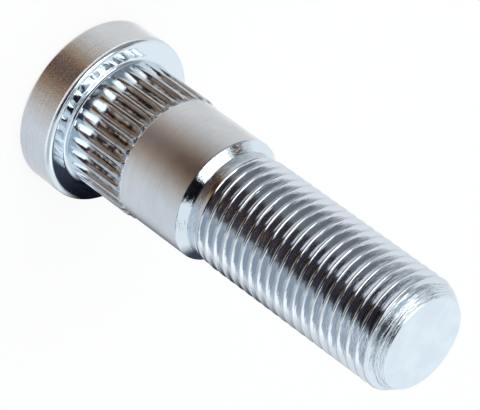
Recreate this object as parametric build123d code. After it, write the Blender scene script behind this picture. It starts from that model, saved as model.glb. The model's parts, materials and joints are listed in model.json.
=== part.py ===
from build123d import *
import os
from math import ceil, pi, radians, tan

# Wheel stud, headed and rolled from one piece of steel.
# The back of the head lies on Z = 0 and the threaded end points up along +Z.

# Thread: half inch, 20 turns to the inch, right hand, with flat crests
thread_diameter = 12.57
thread_pitch = 1.27
thread_length = 26.46
thread_angle = 60
crest_width = 0.234
thread_runout = 0.6

# Chamfered point that leads the nut on
point_length = 1.75
point_drop = 1.15
point_edge_radius = 0.3

# Neck between the shank and the thread, left at the size of the rolling blank
neck_drop = 0.215
neck_length = 0.93
shoulder_angle = 45

# Smooth shank, one radial step larger than the thread
shank_step = 0.67
shank_length = 8.75

# Serrations that bite into the hub: narrow lands raised between grooves, which ramp out at both ends
serration_count = 30
serration_height = 0.24
serration_length = 7.92
serration_end_length = 0.35
land_width = 0.37
groove_depth = 0.45
groove_floor_width = 0.42
groove_ramp_angle = 14
groove_bend_radius = 2.0
collar_length = 0.15

# Head
head_diameter = 19.05
head_thickness = 4.85
head_back_radius = 0.5
head_front_radius = 0.65
seat_fillet_radius = 0.33

# How far one body runs into the next, or a cutter past a face
overlap = 0.1

# Radii, from the thread outwards
crest_radius = thread_diameter / 2
thread_depth = (thread_pitch - crest_width) / 2 / tan(radians(thread_angle / 2))
root_radius = crest_radius - thread_depth
neck_radius = crest_radius - neck_drop
shank_radius = crest_radius + shank_step
land_radius = shank_radius + serration_height
floor_radius = land_radius - groove_depth
head_radius = head_diameter / 2

# Flat ring under the head, and the fillet at its inner edge
ledge = head_radius - land_radius
fillet_radius = min(seat_fillet_radius, ledge / 3)

# Heights, from the back of the head upwards
serration_end = head_thickness + serration_length
shank_end = serration_end + shank_length
neck_start = shank_end + (shank_radius - neck_radius) / tan(radians(shoulder_angle))
thread_start = neck_start + neck_length
stud_length = thread_start + thread_length


def revolved(points, radii):
    """Solid under an outline of (radius, height) points, turned about Z with its seam on -X."""
    outline = FilletPolyline(*points, radius=radii)
    axis_line = Line(points[-1], points[0])
    section = make_face(Plane.XZ * (outline + axis_line))
    return Rot(0, 0, 180) * revolve(section, Axis.Z)


def headed_blank():
    """Head, serrated band still plain, shank, shoulder, neck and the start of the thread's core."""
    back_radius = min(head_back_radius, head_thickness / 3)
    front_radius = min(head_front_radius, head_thickness / 3, ledge / 2)
    corners = [
        ((head_radius, 0), back_radius),
        ((head_radius, head_thickness), front_radius),
        ((land_radius, head_thickness), fillet_radius),
        ((land_radius, serration_end), 0),
        ((shank_radius, serration_end + serration_end_length), 0),
        ((shank_radius, shank_end), 0),
        ((neck_radius, neck_start), 0),
        ((neck_radius, thread_start), 0),
        ((root_radius - overlap, thread_start + thread_runout), 0),
    ]
    points = [(0, 0)] + [point for point, _ in corners] + [(0, thread_start + thread_runout)]
    return revolved(points, [radius for _, radius in corners])


def serration_groove():
    """Groove cutter on +X: down a ramp from the collar, along the band, and up a ramp to the shank."""
    mouth_width = 2 * pi * land_radius / serration_count - land_width
    top_width = mouth_width + (mouth_width - groove_floor_width) * overlap / groove_depth
    height = groove_depth + overlap
    steepness = tan(radians(groove_ramp_angle))
    rise = groove_depth + overlap / 4
    ramp_foot = head_thickness + fillet_radius + collar_length + groove_depth / steepness
    groove_end = serration_end + serration_end_length / 2
    far_foot = groove_end - (shank_radius - floor_radius) / steepness
    path = Plane.XZ * FilletPolyline(
        (floor_radius + rise, ramp_foot - rise / steepness),
        (floor_radius, ramp_foot),
        (floor_radius, far_foot),
        (floor_radius + rise, far_foot + rise / steepness),
        radius=groove_bend_radius,
    )
    section = make_face(
        Polyline(
            (0, -groove_floor_width / 2),
            (height, -top_width / 2),
            (height, top_width / 2),
            (0, groove_floor_width / 2),
            close=True,
        )
    )
    outwards = Vector(1, 0, 0).rotate(Axis.Y, -groove_ramp_angle)
    return sweep(Plane(path @ 0, x_dir=outwards, z_dir=path % 0) * section, path=path)


def thread_helix(radius, height):
    """One turn of a helix that starts over +X."""
    return Edge.make_helix(thread_pitch, thread_pitch, radius, center=(0, 0, height))


def thread_section(height):
    """Corners of one ridge over +X, as (radius, height): root, both edges of the crest, root."""
    return [
        (root_radius, height - thread_pitch / 2),
        (crest_radius, height - crest_width / 2),
        (crest_radius, height + crest_width / 2),
        (root_radius, height + thread_pitch / 2),
    ]


def thread_end_faces(height):
    """The ridge's own section over +X and the ramp round the core that leads up to it."""
    section = thread_section(height)
    bottom = section[0][1]
    outline = [(0, bottom)] + section + [(0, bottom + thread_pitch)]
    cut_face = make_face(Plane.XZ * Polyline(*outline, close=True)).face()
    axis_line = Edge.make_line((0, 0, bottom), (0, 0, bottom + thread_pitch))
    return [cut_face, Face.make_surface_from_curves(thread_helix(root_radius, bottom), axis_line)]


def thread_rod():
    """Threaded rod, longer than the thread, sewn from one turn of flank, crest and flank after another."""
    turns = ceil(thread_length / thread_pitch) + 1
    first = thread_start - thread_pitch / 2
    faces = thread_end_faces(first) + thread_end_faces(first + turns * thread_pitch)
    for turn in range(turns):
        rails = [thread_helix(*corner) for corner in thread_section(first + turn * thread_pitch)]
        faces += [Face.make_surface_from_curves(low, high) for low, high in zip(rails, rails[1:])]
    return Solid(Shell(faces))


def thread_envelope():
    """What the thread is trimmed to: ridges that rise out of the neck, and the chamfered point."""
    bottom = thread_start - 2 * thread_pitch
    point_start = stud_length - point_length * (1 + overlap / point_drop)
    points = [
        (0, bottom),
        (neck_radius - overlap / 2, bottom),
        (neck_radius - overlap / 2, thread_start),
        (crest_radius + overlap, thread_start + thread_pitch),
        (crest_radius + overlap, point_start),
        (crest_radius - point_drop, stud_length),
        (0, stud_length),
    ]
    return revolved(points, [0, 0, 0, 0, point_edge_radius])


def wheel_stud():
    """The whole stud: grooved blank and trimmed thread in one solid."""
    groove = serration_groove()
    grooves = [place * groove for place in PolarLocations(0, serration_count)]
    return headed_blank() - grooves + (thread_envelope() & thread_rod())


os.makedirs("parts", exist_ok=True)
export_step(wheel_stud(), "parts/wheel_stud.step")
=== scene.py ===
import json
import math

import bpy
import numpy as np
from mathutils import Matrix, Vector


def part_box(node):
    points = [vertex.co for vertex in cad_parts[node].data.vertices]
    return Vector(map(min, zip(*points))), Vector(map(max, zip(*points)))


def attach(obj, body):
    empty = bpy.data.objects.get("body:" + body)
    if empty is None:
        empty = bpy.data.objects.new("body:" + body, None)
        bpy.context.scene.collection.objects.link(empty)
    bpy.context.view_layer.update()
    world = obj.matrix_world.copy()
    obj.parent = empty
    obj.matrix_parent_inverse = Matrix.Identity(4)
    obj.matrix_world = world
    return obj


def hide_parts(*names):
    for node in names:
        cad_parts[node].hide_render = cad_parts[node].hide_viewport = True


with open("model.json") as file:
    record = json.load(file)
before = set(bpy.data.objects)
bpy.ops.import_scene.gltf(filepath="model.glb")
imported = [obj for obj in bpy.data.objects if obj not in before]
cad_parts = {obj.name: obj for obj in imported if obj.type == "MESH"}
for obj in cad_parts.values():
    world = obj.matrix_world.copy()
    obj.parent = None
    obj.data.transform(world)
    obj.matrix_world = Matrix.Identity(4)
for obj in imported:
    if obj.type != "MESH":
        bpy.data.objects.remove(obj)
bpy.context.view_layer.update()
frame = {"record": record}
mm = 0.001

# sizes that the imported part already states
mounts = {mount["name"]: mount for mount in frame["record"]["mounts"]}
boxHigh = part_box("wheel_stud")[1]
studLength = boxHigh.z
headRadius = boxHigh.x
headThickness = mounts["head_seat"]["pos_m"][2]
shankRadius = mounts["shank"]["dims"]["r_mm"] * mm
landRadius = mounts["serrations"]["dims"]["r_mm"] * mm
crestRadius = mounts["thread"]["dims"]["r_mm"] * mm
threadStart = studLength - mounts["thread"]["dims"]["length_mm"] * mm
print("frame read: stud", round(studLength / mm, 2), "mm long")


# smaller of two arrays, with the crease between them rounded over a height of about `soft`
def softMin(a, b, soft):
    blend = np.clip(0.5 + 0.5 * (b - a) / soft, 0, 1)
    return b + (a - b) * blend - soft * blend * (1 - blend)


# larger of two arrays, rounded in the same way
def softMax(a, b, soft):
    return -softMin(-a, -b, soft)


# points on a circle in the (radius, height) plane, from one angle to another
def arcRows(centre, radius, start, end, steps):
    angle = np.radians(np.linspace(start, end, steps))
    return np.stack([centre[0] + radius * np.cos(angle), centre[1] + radius * np.sin(angle)], 1)


# straight run of rows between two (radius, height) points
def lineRows(a, b, steps):
    share = np.linspace(0, 1, steps)[:, None]
    return np.asarray(a) * (1 - share) + np.asarray(b) * share


# radius and angle of every grid point turned into x, y, z
def turned(radius, angle, height):
    return np.stack(np.broadcast_arrays(radius * np.cos(angle), radius * np.sin(angle), height), -1)


# quads between the columns of a grid and the columns to their right, by vertex number
def gridQuads(index, right):
    return np.stack([index[:-1], right[:-1], right[1:], index[1:]], -1).reshape(-1, 4)


# quads of a grid whose last column meets its first
def closedQuads(index):
    return gridQuads(index, np.roll(index, -1, 1))


# new object, put into the scene
def addObject(name, data):
    made = bpy.data.objects.new(name, data)
    bpy.context.scene.collection.objects.link(made)
    return made


# poleRing is the first ring of points round the middle of a flat end
head = dict(backEdge=0.5 * mm, frontEdge=0.65 * mm, seatFillet=0.45 * mm, poleRing=1.5 * mm)
serration = dict(
    count=30, length=7.92 * mm, endLength=0.35 * mm, landWidth=0.33 * mm, depth=0.45 * mm,
    floorWidth=0.60 * mm, rampAngle=10.5, bendRadius=4.0 * mm, collar=0.05 * mm,
    crease=0.12 * mm, landEdge=0.12 * mm,  # rounding at the foot of a groove's walls and at their top
    wander=0.05 * mm, depthSpread=0.04 * mm, runoutSpread=0.12 * mm, seed=4,  # no two grooves alike
    # least width of a wall, and where its columns of points stand
    wallLeast=0.06 * mm, wallShares=(0.25, 0.6), edgeInside=0.015 * mm, edgeOutside=0.02 * mm)
shank = dict(length=8.75 * mm, neckDrop=0.215 * mm, neckLength=0.93 * mm, edge=0.06 * mm)
thread = dict(
    pitch=1.27 * mm, crestWidth=0.30 * mm, flankAngle=30, runout=0.6 * mm, coreDrop=1.0 * mm,
    edge=0.035 * mm, root=0.16 * mm, blend=0.07 * mm,
    crestDip=0.07 * mm, crestDipWidth=0.06 * mm, crestDipAt=-0.055 * mm,
    columns=120, rowsOnCrest=(0.045, 0.09), rowsAtEdge=(-0.02, 0.01, 0.05, 0.14),
    rowsAtRoot=(0.24, 0.13, 0.05), spareTurns=2)  # rows in mm from the crest's middle, its edge and the root
point = dict(length=1.75 * mm, drop=1.15 * mm, edge=0.3 * mm, poleRing=0.8 * mm)

serrationEnd = headThickness + serration["length"]
shankStart = serrationEnd + serration["endLength"]
shankEnd = serrationEnd + shank["length"]
neckRadius = crestRadius - shank["neckDrop"]
neckStart = threadStart - shank["neckLength"]
pointStart = studLength - point["length"]

# slope of the point, and how far its rounded edge reaches back along it
chamferSlope = point["drop"] / point["length"]
chamferAngle = math.atan(chamferSlope)
turnBack = point["edge"] * math.tan((math.pi / 2 - chamferAngle) / 2)

# where a groove's floor leaves the lands, and where its ramps meet the straight part
rampSlope = math.tan(math.radians(serration["rampAngle"]))
grooveFloor = landRadius - serration["depth"]
grooveTop = headThickness + head["seatFillet"] + serration["collar"]
rampFoot = grooveTop + serration["depth"] / rampSlope
farFoot = serrationEnd + serration["endLength"] / 2 - (shankRadius - grooveFloor) / rampSlope


# outline of the headed blank as (radius, height) rows, from the middle of its back to the neck
def blankRows():
    back, front, fillet, edge = head["backEdge"], head["frontEdge"], head["seatFillet"], shank["edge"]
    spread = serration["runoutSpread"]
    ledge = landRadius + fillet
    return np.concatenate([
        lineRows((head["poleRing"], 0), (headRadius - back - 2 * edge, 0), 6),
        arcRows((headRadius - back, back), back, -90, 0, 9),
        lineRows((headRadius, back + edge), (headRadius, headThickness - front - edge), 6),
        arcRows((headRadius - front, headThickness - front), front, 0, 90, 12),
        lineRows((headRadius - front - edge, headThickness), (ledge + edge, headThickness), 7),
        arcRows((ledge, headThickness + fillet), fillet, 270, 180, 10),
        lineRows((landRadius, grooveTop), (landRadius, rampFoot - 4 * spread), 14),
        lineRows((landRadius, rampFoot - 3 * spread), (landRadius, rampFoot + 3 * spread), 9),
        lineRows((landRadius, rampFoot + 5 * spread), (landRadius, farFoot - 4 * spread), 6),
        lineRows((landRadius, farFoot - 3 * spread), (landRadius, serrationEnd - edge), 12),
        lineRows((landRadius, serrationEnd), (landRadius, shankStart + 2 * edge), 9),
        lineRows((shankRadius, shankStart + 4 * edge), (shankRadius, shankEnd - 2 * edge), 8),
        lineRows((shankRadius, shankEnd - edge), (shankRadius, shankEnd + edge), 5),
        lineRows((shankRadius, shankEnd + 2 * edge), (shankRadius, neckStart - 2 * edge), 5),
        lineRows((shankRadius, neckStart - edge), (shankRadius, neckStart + edge), 5),
        lineRows((neckRadius, neckStart + 3 * edge), (neckRadius, threadStart - edge), 4)])


# radius of the plain bar at each height above the seat: lands, end step, shank, shoulder, neck
def barRadius(height):
    edge = shank["edge"]
    stepSlope = (landRadius - shankRadius) / serration["endLength"]
    shoulderSlope = (shankRadius - neckRadius) / (neckStart - shankEnd)
    step = landRadius - stepSlope * (height - serrationEnd)
    bar = softMax(softMin(landRadius, step, edge / 2), shankRadius, edge / 2)
    shoulder = shankRadius - shoulderSlope * (height - shankEnd)
    return softMax(softMin(bar, shoulder, edge), neckRadius, edge)


# headed blank on a grid of rows and twelve columns to a serration: where the flat-floored groove, which runs
# straight along the band and climbs a ramp at both ends, lies below the bar, it is the surface
def blankGrid():
    draw = np.random.default_rng(serration["seed"])
    count = serration["count"]
    deeper, shift, longer, later = draw.uniform(-1, 1, (4, 1, count, 1))
    shift = shift * serration["wander"]
    pitchLength = 2 * math.pi * landRadius / count
    mouth = (pitchLength - serration["landWidth"]) / 2
    floorHalf = serration["floorWidth"] / 2
    slope = serration["depth"] / (mouth - floorHalf)
    rows = blankRows()
    height = rows[:, 1][:, None, None]
    inBar = height > headThickness + head["seatFillet"]
    bar = np.where(inBar, barRadius(height), rows[:, 0][:, None, None])
    bend = serration["bendRadius"] * math.tan(math.radians(serration["rampAngle"] / 2)) * rampSlope
    before = (rampFoot + longer * serration["runoutSpread"] - height) * rampSlope
    after = (height - farFoot - later * serration["runoutSpread"] / 2) * rampSlope
    lift = softMax(softMax(before, 0 * before, bend), after, bend)
    floor = grooveFloor + deeper * serration["depthSpread"] + lift
    # columns from a groove's middle to its edge, which moves in where the groove is shallow
    reach = floorHalf + (np.minimum(bar, landRadius) - floor) / slope
    edgeAt = np.clip(reach, floorHalf + serration["wallLeast"], mouth)
    wall = [floorHalf + (edgeAt - floorHalf) * share for share in serration["wallShares"]]
    side = np.concatenate([0 * edgeAt, floorHalf + 0 * edgeAt, *wall,
                           edgeAt - serration["edgeInside"], edgeAt + serration["edgeOutside"]], 2)
    land = pitchLength / 2 - shift + 0 * edgeAt
    offset = np.concatenate([side, land, -side[:, :, :0:-1]], 2) + shift
    fromMiddle = np.abs(offset - shift)
    fromMiddle = np.minimum(fromMiddle, pitchLength - fromMiddle)
    groove = floor + softMax(fromMiddle - floorHalf, 0 * fromMiddle, serration["crease"]) * slope
    radius = np.where(inBar, softMin(bar + 0 * groove, groove, serration["landEdge"]), bar)
    centre = (np.arange(count) * 2 * math.pi / count)[None, :, None]
    half = side.shape[2] + 1
    unwound = np.concatenate([offset[:, :, :half], offset[:, :, half:] + pitchLength], 2)
    points = turned(radius, centre + unwound / landRadius, height).reshape(len(rows), -1, 3)
    return points, ((bar - radius) / serration["depth"]).reshape(-1)


# radius of the thread at a distance along the axis from the middle of its crest, the same every pitch:
# flat crest with a faint rolling dip, straight flanks, round root
def threadProfile(along):
    inTurn = ((along / thread["pitch"] + 0.5) % 1 - 0.5) * thread["pitch"]
    away = np.abs(inTurn)
    flankSlope = 1 / math.tan(math.radians(thread["flankAngle"]))
    rootRadius = crestRadius - (thread["pitch"] - thread["crestWidth"]) / 2 * flankSlope
    drop = softMax(away - thread["crestWidth"] / 2, 0 * away, thread["edge"]) * flankSlope
    drop = drop + thread["crestDip"] * np.exp(-((inTurn - thread["crestDipAt"]) / thread["crestDipWidth"])**2)
    return softMax(crestRadius - drop, rootRadius + 0 * drop, thread["root"])


# thread, run-out and chamfer as one radius over angle and height
def threadRadius(angle, height):
    pitch, blend = thread["pitch"], thread["blend"]
    ridge = threadProfile(height - (threadStart - pitch / 2) - pitch * angle / (2 * math.pi))
    rising = neckRadius + (crestRadius - neckRadius) * (height - threadStart) / pitch
    fall = neckRadius - crestRadius + thread["coreDrop"]
    core = neckRadius - fall * (height - threadStart) / thread["runout"]
    chamfer = crestRadius - chamferSlope * (height - pointStart)
    ridge = softMin(ridge, rising, blend)
    ridge = softMax(ridge, np.minimum(core, neckRadius), blend)
    ridge = np.where(height < threadStart, neckRadius, ridge)
    return softMin(np.minimum(ridge, crestRadius), chamfer, blend)


# offsets along the axis of the rows in one pitch, close together where the section bends
def threadRows():
    half, crest = thread["pitch"] / 2, thread["crestWidth"] / 2
    onCrest, atEdge, atRoot = (
        np.array(thread[name]) * mm for name in ("rowsOnCrest", "rowsAtEdge", "rowsAtRoot"))
    side = np.concatenate([onCrest, crest + atEdge, half - atRoot])
    return np.concatenate([[-half], -side[::-1], [0], side])


# grid whose rows climb with the helix: the row one turn up closes the seam, and rows past either end
# fall together on the end rings
def threadGrid(firstIndex):
    columns, pitch, spare = thread["columns"], thread["pitch"], thread["spareTurns"]
    low = threadStart - shank["edge"] / 2
    high = studLength - turnBack * math.cos(chamferAngle)
    turns = math.ceil((high - low) / pitch) + 2 * spare
    offsets = threadRows()
    start = threadStart - pitch / 2 - spare * pitch + np.arange(turns)[:, None] * pitch
    rowHeight = (start + offsets[None]).reshape(-1)
    angle = np.arange(columns) * 2 * math.pi / columns
    height = np.clip(rowHeight[:, None] + pitch * angle[None] / (2 * math.pi), low, high)
    points = turned(threadRadius(angle[None], height), angle[None], height)
    inside = (height > low) & (height < high)
    index = np.empty(height.shape, int)
    index[inside] = firstIndex + 2 * columns + np.arange(inside.sum())
    ring = firstIndex + np.arange(columns)[None] + 0 * index
    index = np.where(height <= low, ring, np.where(height >= high, ring + columns, index))
    ends = [turned(threadRadius(angle, level), angle, level) for level in (low, high)]
    vertices = np.concatenate([ends[0], ends[1], points[inside]])
    perTurn = len(offsets)
    rightEdge = np.concatenate([index[perTurn:, :1], np.full((perTurn, 1), firstIndex + columns)])
    return vertices, gridQuads(index, np.concatenate([index[:, 1:], rightEdge], 1))


# rounded edge of the point and the flat end, from the chamfer to the middle
def tipRows():
    corner = crestRadius - point["drop"]
    middle = (corner - turnBack, studLength - point["edge"])
    bend = arcRows(middle, point["edge"], math.degrees(chamferAngle), 90, 9)[1:]
    flat = lineRows((middle[0] - shank["edge"], studLength), (point["poleRing"], studLength), 6)
    return np.concatenate([bend, flat])


# quads that have lost a side become triangles, and those that have lost two are dropped
def cleanFaces(quads):
    same = quads == np.roll(quads, -1, 1)
    whole = quads[~same.any(1)]
    bent = quads[same.sum(1) == 1]
    place = np.argmax(bent == np.roll(bent, -1, 1), 1)
    order = (place[:, None] + np.arange(1, 4)[None]) % 4
    corners = np.take_along_axis(bent, order, 1)
    distinct = (corners != np.roll(corners, -1, 1)).all(1)
    return whole.tolist() + corners[distinct].tolist()


# three columns of one ring against one column of the next
def stitchThree(fine, coarse):
    first, second, third = fine.reshape(-1, 3).T
    nextFirst, nextCoarse = np.roll(first, -1), np.roll(coarse, -1)
    return np.concatenate([
        np.stack([first, second, coarse], 1), np.stack([second, nextCoarse, coarse], 1),
        np.stack([second, third, nextCoarse], 1), np.stack([third, nextFirst, nextCoarse], 1)])


# the whole stud as one closed mesh: back, blank, thread, point and end, each ring joined to the next
def buildStud():
    blank, depth = blankGrid()
    rowCount, columnCount = blank.shape[:2]
    blankIndex = 1 + np.arange(rowCount * columnCount).reshape(rowCount, columnCount)
    threadFirst = 1 + rowCount * columnCount
    threadPoints, threadQuads = threadGrid(threadFirst)
    columns = thread["columns"]
    lowRing = threadFirst + np.arange(columns)
    highRing = lowRing + columns
    tips = tipRows()
    tipFirst = threadFirst + len(threadPoints)
    angle = np.arange(columns) * 2 * math.pi / columns
    tipPoints = turned(tips[:, :1], angle[None], tips[:, 1:]).reshape(-1, 3)
    tipIndex = np.concatenate([highRing[None], tipFirst + np.arange(len(tipPoints)).reshape(-1, columns)])
    tipPole = tipFirst + len(tipPoints)
    poles = np.array([[[0, 0, 0]], [[0, 0, studLength]]])
    vertices = np.concatenate([poles[0], blank.reshape(-1, 3), threadPoints, tipPoints, poles[1]])
    firstRing, lastRing = blankIndex[0], tipIndex[-1]
    backFan = np.stack([np.zeros_like(firstRing), np.roll(firstRing, -1), firstRing], 1)
    tipFan = np.stack([np.full_like(lastRing, tipPole), lastRing, np.roll(lastRing, -1)], 1)
    faces = (closedQuads(blankIndex).tolist() + stitchThree(blankIndex[-1], lowRing).tolist()
             + cleanFaces(threadQuads) + closedQuads(tipIndex).tolist() + backFan.tolist() + tipFan.tolist())
    mesh = bpy.data.meshes.new("platedStud")
    mesh.from_pydata(vertices.tolist(), [], faces)
    mesh.shade_smooth()
    grooved = np.zeros(len(vertices), np.float32)
    grooved[1:1 + len(depth)] = depth
    mesh.attributes.new("grooveDepth", "FLOAT", "POINT").data.foreach_set("value", grooved)
    mesh.update()
    print("stud mesh:", len(vertices), "vertices,", sum(len(face) - 2 for face in faces), "triangles")
    return addObject("platedStud", mesh)


# one socket of a shader; sums and products of sockets add their Math nodes
class Flow:
    def __init__(self, tree, socket):
        self.tree = tree
        self.socket = socket

    # a node of any kind: its settings first, then the values or links of its sockets
    @classmethod
    def node(cls, tree, kind, settings=None, sockets=None, out=0):
        made = tree.nodes.new(kind)
        for name, value in (settings or {}).items():
            setattr(made, name, value)
        for name, value in (sockets or {}).items():
            if isinstance(value, Flow):
                tree.links.new(value.socket, made.inputs[name])
            else:
                made.inputs[name].default_value = value
        return cls(tree, made.outputs[out] if made.outputs else None)

    # a Math node that takes this socket first
    def math(self, operation, *others):
        sockets = dict(enumerate((self, *others)))
        return Flow.node(self.tree, "ShaderNodeMath", dict(operation=operation), sockets)

    def __add__(self, other):
        return self.math("ADD", other)

    def __sub__(self, other):
        return self.math("SUBTRACT", other)

    def __rsub__(self, other):
        return self.math("MULTIPLY_ADD", -1, other)

    def __mul__(self, other):
        return self.math("MULTIPLY", other)

    __radd__ = __add__
    __rmul__ = __mul__

    def __abs__(self):
        return self.math("ABSOLUTE")

    # 0 at the first value, 1 at the second, smooth between and flat beyond
    def rise(self, start, end):
        sockets = {"Value": self, "From Min": start, "From Max": end}
        return Flow.node(self.tree, "ShaderNodeMapRange", dict(interpolation_type="SMOOTHSTEP"), sockets)

    # 1 below a limit and 0 above it, with a soft edge
    def under(self, limit, soft):
        return 1 - self.rise(limit - soft, limit + soft)

    # 1 within a stretch, with soft ends
    def within(self, low, high, soft):
        return self.rise(low - soft, low + soft) * self.under(high, soft)

    # cloudy pattern about zero, with lumps of the given sizes in mm along x, y and z
    def noise(self, sizes):
        scale = tuple(1 / (size * mm) for size in sizes)
        scaled = Flow.node(self.tree, "ShaderNodeMapping", None, {"Vector": self, "Scale": scale})
        sockets = {"Vector": scaled, "Scale": 1.0, "Detail": 2.0, "Roughness": 0.55}
        return Flow.node(self.tree, "ShaderNodeTexNoise", None, sockets) - 0.5

    # how far a vector reaches along a direction
    def along(self, way):
        settings = dict(operation="DOT_PRODUCT")
        return Flow.node(self.tree, "ShaderNodeVectorMath", settings, {0: self, 1: way}, out="Value")


# first colour where the share is 0, second where it is 1; the numbers are a Mix node's colour sockets
def mixColour(tree, share, first, second):
    sockets = {0: share, 6: first, 7: second}
    return Flow.node(tree, "ShaderNodeMix", dict(data_type="RGBA"), sockets, out=2)


# material without any nodes yet
def bareMaterial(name):
    material = bpy.data.materials.new(name)
    material.use_nodes = True
    material.node_tree.nodes.clear()
    return material


zinc = dict(
    # colours
    bright=(0.71, 0.785, 0.845, 1), satinBright=(0.80, 0.81, 0.82, 1), dull=(0.74, 0.75, 0.765, 1),
    straw=(0.80, 0.74, 0.64, 1), lathed=(0.62, 0.62, 0.63, 1), steel=(0.66, 0.70, 0.745, 1),
    # the band's grey-brown on the next line is partly a dull tone and partly painted shade, heavier inside
    # the grooves, and the near-black after it is painted shade on the groove floors
    polished=(0.77, 0.86, 0.92, 1), sooty=(0.43, 0.41, 0.405, 1), scale=(0.05, 0.045, 0.052, 1),
    frosted=(0.77, 0.85, 0.90, 1),
    # roughness of each finish, and what the marks add to it
    burnished=0.10, satin=0.27, shankSatin=0.34, mirror=0.07, neckSatin=0.2, matte=0.48,
    cloudRough=0.05, grainRough=0.12, bandRough=0.02, drawingRough=0.12, wallRough=0.3,
    # sizes of the marks along x, y and z, in mm
    turning=(25, 25, 0.17), rolling=(2.4, 2.4, 0.13), chatter=(0.9, 0.9, 0.12), drawing=(0.26, 0.26, 4),
    grain=(0.13, 0.13, 0.13), swell=(0.6, 0.6, 0.6), cloud=(2.2, 2.2, 2.2),
    # heights of the marks, those of the rolling on each face it runs over
    turningHeight=0.020 * mm, drawingHeight=0.08 * mm, chatterHeight=0.022 * mm, grainHeight=0.004 * mm,
    swellHeight=0.006 * mm, rolledShoulder=0.014 * mm, rolledNeck=0.084 * mm, rolledThread=0.028 * mm,
    rolledChamfer=0.175 * mm,
    # where a mark begins to colour the metal and where it is full, and how strongly
    cloudy=(-0.2, 0.25), strawy=(0.02, 0.3), ridged=(-0.05, -0.25), scaly=(-0.12, 0.10),
    strawShare=0.5, lathedShare=0.6, sootyLands=0.5, sootySwell=1.2,
    # how deep in a groove its walls and its floor begin, and where the head's satin side ends under the seat
    walls=(0.02, 0.3), floor=(0.6, 0.95), sideEnd=(0.45 * mm, 0.15 * mm))


# bright zinc: satin with turning lines on the plain faces, burnished and streaked on what was rolled
def zincMaterial():
    material = bareMaterial("brightZinc")
    tree = material.node_tree
    place = Flow.node(tree, "ShaderNodeTexCoord", out="Object")
    z = place.along((0, 0, 1))
    edge = shank["edge"]
    headSide = 1 - z.rise(*(headThickness - drop for drop in zinc["sideEnd"]))
    shankSide = z.within(shankStart + edge, shankEnd - edge, edge)
    rough = z.rise(rampFoot - 4 * edge, rampFoot + 14 * edge) * z.under(shankStart, 3 * edge)
    shoulder = z.within(shankEnd, neckStart, edge)
    neck = z.within(neckStart, threadStart, edge)
    threaded = z.within(threadStart, pointStart, 4 * edge)
    chamfer = z.within(pointStart, studLength - 2 * edge, edge)
    tip = z.rise(studLength - 2 * edge, studLength - edge / 2)
    satin = headSide + shankSide
    depth = Flow.node(tree, "ShaderNodeAttribute", dict(attribute_name="grooveDepth"), out="Fac")
    inGroove = depth.rise(*zinc["walls"])
    onFloor = depth.rise(*zinc["floor"])
    turning, rolling, chatter, drawing, grain, swell, cloud = (place.noise(zinc[name]) for name in (
        "turning", "rolling", "chatter", "drawing", "grain", "swell", "cloud"))

    cloudy = cloud.rise(*zinc["cloudy"])
    # share of the band's grey-brown: half on the lands and full inside the grooves, where it is painted
    # shade, varied by the swell
    bandDullAndGrooveShadeShare = zinc["sootyLands"] + (1 - zinc["sootyLands"]) * inGroove + zinc["sootySwell"] * swell
    colour = mixColour(tree, satin, zinc["bright"], zinc["satinBright"])
    for share, name in (
            (cloudy * satin, "dull"),
            (swell.rise(*zinc["strawy"]) * satin * zinc["strawShare"], "straw"),
            (turning.rise(*zinc["ridged"]) * satin * zinc["lathedShare"], "lathed"),
            (threaded, "steel"),
            ((1 - rough) * inGroove, "polished"),
            (rough * bandDullAndGrooveShadeShare, "sooty"),
            # near-black patches on the groove floors: painted shade
            (rough * onFloor * (drawing + swell).rise(*zinc["scaly"]), "scale"),
            (cloudy * tip, "frosted")):
        colour = mixColour(tree, share, colour, zinc[name])

    roughness = zinc["burnished"] + cloud * zinc["cloudRough"] + satin * grain * zinc["grainRough"]
    for face, finish in ((headSide, "satin"), (shankSide, "shankSatin"), (shoulder, "mirror"),
                         (neck, "neckSatin"), (chamfer, "satin"), (tip, "matte")):
        roughness = roughness + face * (zinc[finish] - zinc["burnished"])
    onWall = inGroove - onFloor
    roughness = roughness + rough * (
        zinc["bandRough"] + drawing * zinc["drawingRough"] + onWall * zinc["wallRough"])

    rolled = (shoulder * zinc["rolledShoulder"] + neck * zinc["rolledNeck"]
              + threaded * zinc["rolledThread"] + chamfer * zinc["rolledChamfer"])
    height = (satin * turning * zinc["turningHeight"] + rough * drawing * zinc["drawingHeight"]
              + rolled * rolling + (shoulder + chamfer) * chatter * zinc["chatterHeight"]
              + grain * zinc["grainHeight"] + (1 - tip) * swell * zinc["swellHeight"])
    bump = Flow.node(tree, "ShaderNodeBump", None, {"Strength": 1.0, "Distance": 1.0, "Height": height})
    surface = Flow.node(tree, "ShaderNodeBsdfPrincipled", None, {
        "Base Color": colour, "Roughness": roughness, "Metallic": 1.0, "Normal": bump})
    Flow.node(tree, "ShaderNodeOutputMaterial", None, {0: surface})
    return material


stud = buildStud()
stud.data.materials.append(zincMaterial())
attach(stud, "root")
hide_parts("wheel_stud")
print("stud dressed")

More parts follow.
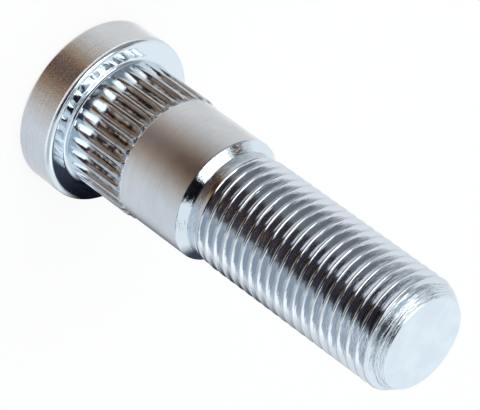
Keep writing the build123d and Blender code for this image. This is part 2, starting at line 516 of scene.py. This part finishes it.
# places round the stage as turn from +X and lift above the floor, half sizes and soft edges, in degrees
studio = dict(
    sky=(0.95, 0.98, 1.0, 1), below=(0.75, 0.765, 0.785, 1), skyStart=(-17, -7), white=(1, 1, 1, 1),
    softbox=dict(turn=-142, lift=54, distance=0.6, size=(0.46, 0.30), power=0.92))
surroundings = dict(
    window=dict(turn=86, lift=42, size=(50, 30), soft=(25, 16), colour=(1.01, 1.04, 1.07, 1)),
    paper=dict(turn=95, lift=-38, size=(24, 22), soft=(14, 8), colour=(1.15, 1.17, 1.18, 1)),
    roofLeft=dict(turn=157, lift=61, size=(24, 9), soft=(16, 6), colour=(0.36, 0.38, 0.40, 1)),
    roofRight=dict(turn=27, lift=51, size=(17, 12), soft=(10, 6), colour=(1.34, 1.38, 1.42, 1)),
    cool=dict(turn=5, lift=-28, size=(40, 24), soft=(30, 8), colour=(0.66, 0.72, 0.80, 1)),
    coolTop=dict(turn=-12, lift=-20, size=(32, 8), soft=(22, 3), colour=(1.0, 1.08, 1.14, 1)),
    greyWall=dict(turn=181, lift=11, size=(26, 15), soft=(13, 4), colour=(0.33, 0.34, 0.37, 1)),
    warmth=dict(turn=-103, lift=-55, size=(48, 37), soft=(26, 3), colour=(0.52, 0.45, 0.38, 1)),
    glow=dict(turn=-104, lift=-55, size=(32, 37), soft=(20, 3), colour=(0.35, 0.19, 0.07, 1)),
    horizon=dict(turn=-104, lift=-12.5, size=(80, 7.5), soft=(30, 2.5), colour=(1.42, 1.46, 1.50, 1)),
    bench=dict(turn=-106, lift=-60, size=(18, 38), soft=(14, 8), colour=(0.085, 0.026, 0.003, 1)),
    benchTop=dict(turn=-104, lift=-26.5, size=(58, 5), soft=(25, 2), colour=(0.020, 0.016, 0.024, 1)),
    flag=dict(turn=-73, lift=35.5, size=(26, 15.5), soft=(6, 2), colour=(0.004, 0.003, 0.005, 1)))


# pale all round, with soft-edged light and dark patches for bright metal to reflect; white to the camera
def buildWorld():
    world = bpy.data.worlds.new("studio")
    bpy.context.scene.world = world
    world.use_nodes = True
    tree = world.node_tree
    tree.nodes.clear()
    ray = Flow.node(tree, "ShaderNodeTexCoord", out="Generated")
    lift = ray.along((0, 0, 1)).math("ARCSINE") * math.degrees(1)
    colour = mixColour(tree, lift.rise(*studio["skyStart"]), studio["below"], studio["sky"])
    for patch in surroundings.values():
        turn = math.radians(patch["turn"])
        ahead = ray.along((math.cos(turn), math.sin(turn), 0))
        aside = ray.along((-math.sin(turn), math.cos(turn), 0))
        across = abs(aside.math("ARCTAN2", ahead)) * math.degrees(1)
        inWide = across.under(patch["size"][0], patch["soft"][0])
        inHigh = abs(lift - patch["lift"]).under(patch["size"][1], patch["soft"][1])
        colour = mixColour(tree, inWide * inHigh, colour, patch["colour"])
    toCamera = Flow.node(tree, "ShaderNodeLightPath", out="Is Camera Ray")
    colour = mixColour(tree, toCamera, colour, studio["white"])
    light = Flow.node(tree, "ShaderNodeBackground", None, {0: colour, 1: 1.0})
    Flow.node(tree, "ShaderNodeOutputWorld", None, {0: light})


# one large lamp, turned to the middle of the stud
def buildSoftbox():
    box = studio["softbox"]
    turn, lift = math.radians(box["turn"]), math.radians(box["lift"])
    way = Vector((math.cos(turn) * math.cos(lift), math.sin(turn) * math.cos(lift), math.sin(lift)))
    lamp = bpy.data.lights.new("softbox", "AREA")
    lamp.shape = "RECTANGLE"
    lamp.size, lamp.size_y = box["size"]
    lamp.energy = box["power"]
    holder = addObject("softbox", lamp)
    holder.location = Vector((0, 0, studLength / 2)) + way * box["distance"]
    holder.rotation_euler = (-way).to_track_quat("-Z", "Y").to_euler()


# flat four-cornered sheet with one material, put into the scene
def stageSheet(name, corners, material):
    mesh = bpy.data.meshes.new(name)
    mesh.from_pydata(corners, [], [(0, 1, 2, 3)])
    mesh.materials.append(material)
    sheet = addObject(name, mesh)
    return sheet


floorSheet = dict(size=6.0, colour=(0.93, 0.93, 0.93, 1), glow=0.85)


# pale floor that the camera sees nearly white, with the stud's shadow on it
def buildFloor():
    half = floorSheet["size"] / 2
    material = bareMaterial("paleFloor")
    tree = material.node_tree
    toCamera = Flow.node(tree, "ShaderNodeLightPath", out="Is Camera Ray")
    paper = Flow.node(tree, "ShaderNodeBsdfDiffuse", None, {0: floorSheet["colour"]})
    white = Flow.node(tree, "ShaderNodeEmission", None, {0: studio["white"], 1: 1.0})
    share = toCamera * floorSheet["glow"]
    mixed = Flow.node(tree, "ShaderNodeMixShader", None, {0: share, 1: paper, 2: white})
    Flow.node(tree, "ShaderNodeOutputMaterial", None, {0: mixed})
    corners = [(-half, -half, 0), (half, -half, 0), (half, half, 0), (-half, half, 0)]
    floor = stageSheet("paperFloor", corners, material)
    floor.visible_glossy = False


# upright cards near the stud that only its metal sees, for the dark and grey things about a bench; in mm:
# gap from the stud's axis, heights of the lower and upper edge, fade where the top gives out, and across
# from a card's middle to where it starts to give out sideways and to where it is gone
cards = dict(
    # headShade and shade are painted shadow: dark sheets where the shadow under a stud lying on a table would
    # be, shade near-black at its foot by the head
    headShade=dict(turn=68, gap=21.5, heights=(10, 28), fade=(24, 28), across=(3, 7),
                   colour=(0.06, 0.07, 0.12, 1)),
    shade=dict(turn=46.5, gap=9.7, heights=(0, 51), fade=(30, 50), across=(4.4, 8.4),
               colour=(0.05, 0.06, 0.09, 1), lowColour=(0.003, 0.003, 0.009, 1), colourChange=(7, 14)),
    underThread=dict(turn=-98, gap=40, heights=(8, 32), fade=(28, 32), across=(25, 45),
                     colour=(0.055, 0.045, 0.06, 1)),
    besideThread=dict(turn=-162, gap=40, heights=(5, 40), fade=(34, 40), across=(14, 34),
                      colour=(0.27, 0.285, 0.30, 1)),
    rightOfThread=dict(turn=-28, gap=40, heights=(5, 38), fade=(32, 38), across=(12, 28),
                       colour=(0.52, 0.60, 0.68, 1)),
    post=dict(turn=173, gap=80, heights=(65, 98), fade=(86, 98), across=(10, 27),
              colour=(0.10, 0.04, 0.025, 1)),
    sill=dict(turn=-22, gap=80, heights=(44, 68), fade=(60, 68), across=(20, 38),
              colour=(0.06, 0.07, 0.13, 1)),
    barrel=dict(turn=-73, gap=30, heights=(50, 200), fade=(190, 200), across=(11, 16),
                colour=(0.004, 0.003, 0.005, 1)),
    stander=dict(turn=-76, gap=80, heights=(16, 96), fade=(86, 96), across=(34, 44),
                 colour=(0.004, 0.003, 0.005, 1)))


# sheet square to its turn, clear towards its sides and its top
def buildCard(name, card):
    turn = math.radians(card["turn"])
    ahead = np.array([math.cos(turn), math.sin(turn), 0])
    aside = np.array([-math.sin(turn), math.cos(turn), 0])
    gap = card["gap"] * mm
    low, high, fadeStart, fadeEnd, full, gone = (
        size * mm for size in card["heights"] + card["fade"] + card["across"])
    material = bareMaterial(name)
    tree = material.node_tree
    place = Flow.node(tree, "ShaderNodeTexCoord", out="Object")
    height = place.along((0, 0, 1))
    colour = card["colour"]
    if "lowColour" in card:
        change = height.rise(*(level * mm for level in card["colourChange"]))
        colour = mixColour(tree, change, card["lowColour"], colour)
    inside = 1 - abs(place.along(tuple(aside))).rise(full, gone)
    inside = inside * (1 - height.rise(fadeStart, fadeEnd))
    solid = Flow.node(tree, "ShaderNodeEmission", None, {0: colour, 1: 1.0})
    clear = Flow.node(tree, "ShaderNodeBsdfTransparent")
    mixed = Flow.node(tree, "ShaderNodeMixShader", None, {0: inside, 1: clear, 2: solid})
    Flow.node(tree, "ShaderNodeOutputMaterial", None, {0: mixed})
    corners = [tuple(ahead * gap + aside * side + np.array([0, 0, level]))
               for side, level in ((-gone, low), (gone, low), (gone, high), (-gone, high))]
    sheet = stageSheet(name, corners, material)
    sheet.visible_camera = False
    sheet.visible_diffuse = False
    sheet.visible_shadow = False


# the photograph's view: how the stud's axis lies in it, and where its tip falls in a 480 x 410 picture
view = dict(
    axisToSight=56.40, axisBelowRight=36.09, turnAboutAxis=184.3, lens=250.0, sensor=36.0, clip=(0.01, 20),
    pictureSize=(480, 410), tipPixel=(423.4, 344.04), tipDistance=0.3213)


# camera set by where the stud's own axes point in the picture
def buildCamera():
    sight, fall, spin = (
        math.radians(view[name]) for name in ("axisToSight", "axisBelowRight", "turnAboutAxis"))
    # picture axes: right, down, away
    up = np.array([math.sin(sight) * math.cos(fall), math.sin(sight) * math.sin(fall), -math.cos(sight)])
    limb = np.cross(up, [0, 0, 1])
    limb = limb / np.linalg.norm(limb)
    facing = np.cross(up, limb)
    axes = np.stack([math.cos(spin) * limb + math.sin(spin) * facing,
                     math.cos(spin) * facing - math.sin(spin) * limb, up])
    wide, tall = view["pictureSize"]
    focal = view["lens"] / view["sensor"] * wide
    tipX, tipY = view["tipPixel"]
    tip = np.array([(tipX - wide / 2) / focal, (tipY - tall / 2) / focal, 1]) * view["tipDistance"]
    place = np.array([0, 0, studLength]) - axes @ tip
    columns = axes @ np.diag([1, -1, -1])
    lens = bpy.data.cameras.new("photoView")
    lens.lens = view["lens"]
    lens.sensor_width = view["sensor"]
    lens.sensor_fit = "HORIZONTAL"
    lens.clip_start, lens.clip_end = view["clip"]
    camera = addObject("photoView", lens)
    camera.matrix_world = Matrix(np.vstack([np.column_stack([columns, place]), [0, 0, 0, 1]]).tolist())
    bpy.context.scene.camera = camera


buildWorld()
buildSoftbox()
buildFloor()
for name, card in cards.items():
    buildCard(name, card)
buildCamera()
bpy.context.scene.view_settings.view_transform = "Standard"
print("stage set:", len(surroundings), "patches round it and", len(cards), "cards")
